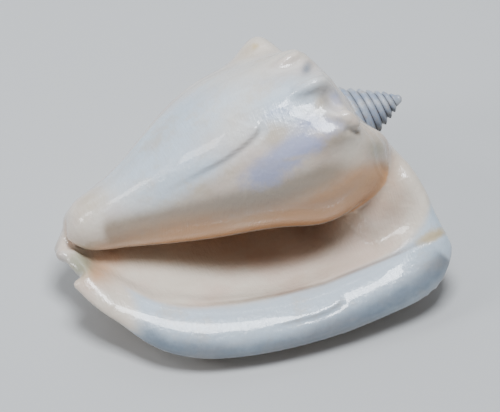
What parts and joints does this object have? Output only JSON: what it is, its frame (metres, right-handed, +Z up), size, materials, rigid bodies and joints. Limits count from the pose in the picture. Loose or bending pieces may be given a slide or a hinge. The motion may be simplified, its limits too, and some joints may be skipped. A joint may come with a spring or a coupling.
{
  "type": "conch shell",
  "caption": "Polished sea shell with a knobbed shoulder, a small pointed spire and a wide flared lip beside a long narrow opening",
  "frame": {"origin": "on the floor under the middle of the shell as it lies on its back", "axes": "+X along the shell toward the spire's tip, +Z up, the lip toward -Y"},
  "size_m": [0.1496, 0.1154, 0.0867],
  "materials": {
    "shell": "polished natural shell"
  },
  "bodies": {
    "root": {"conch_shell": "shell"}
  },
  "joints": []
}
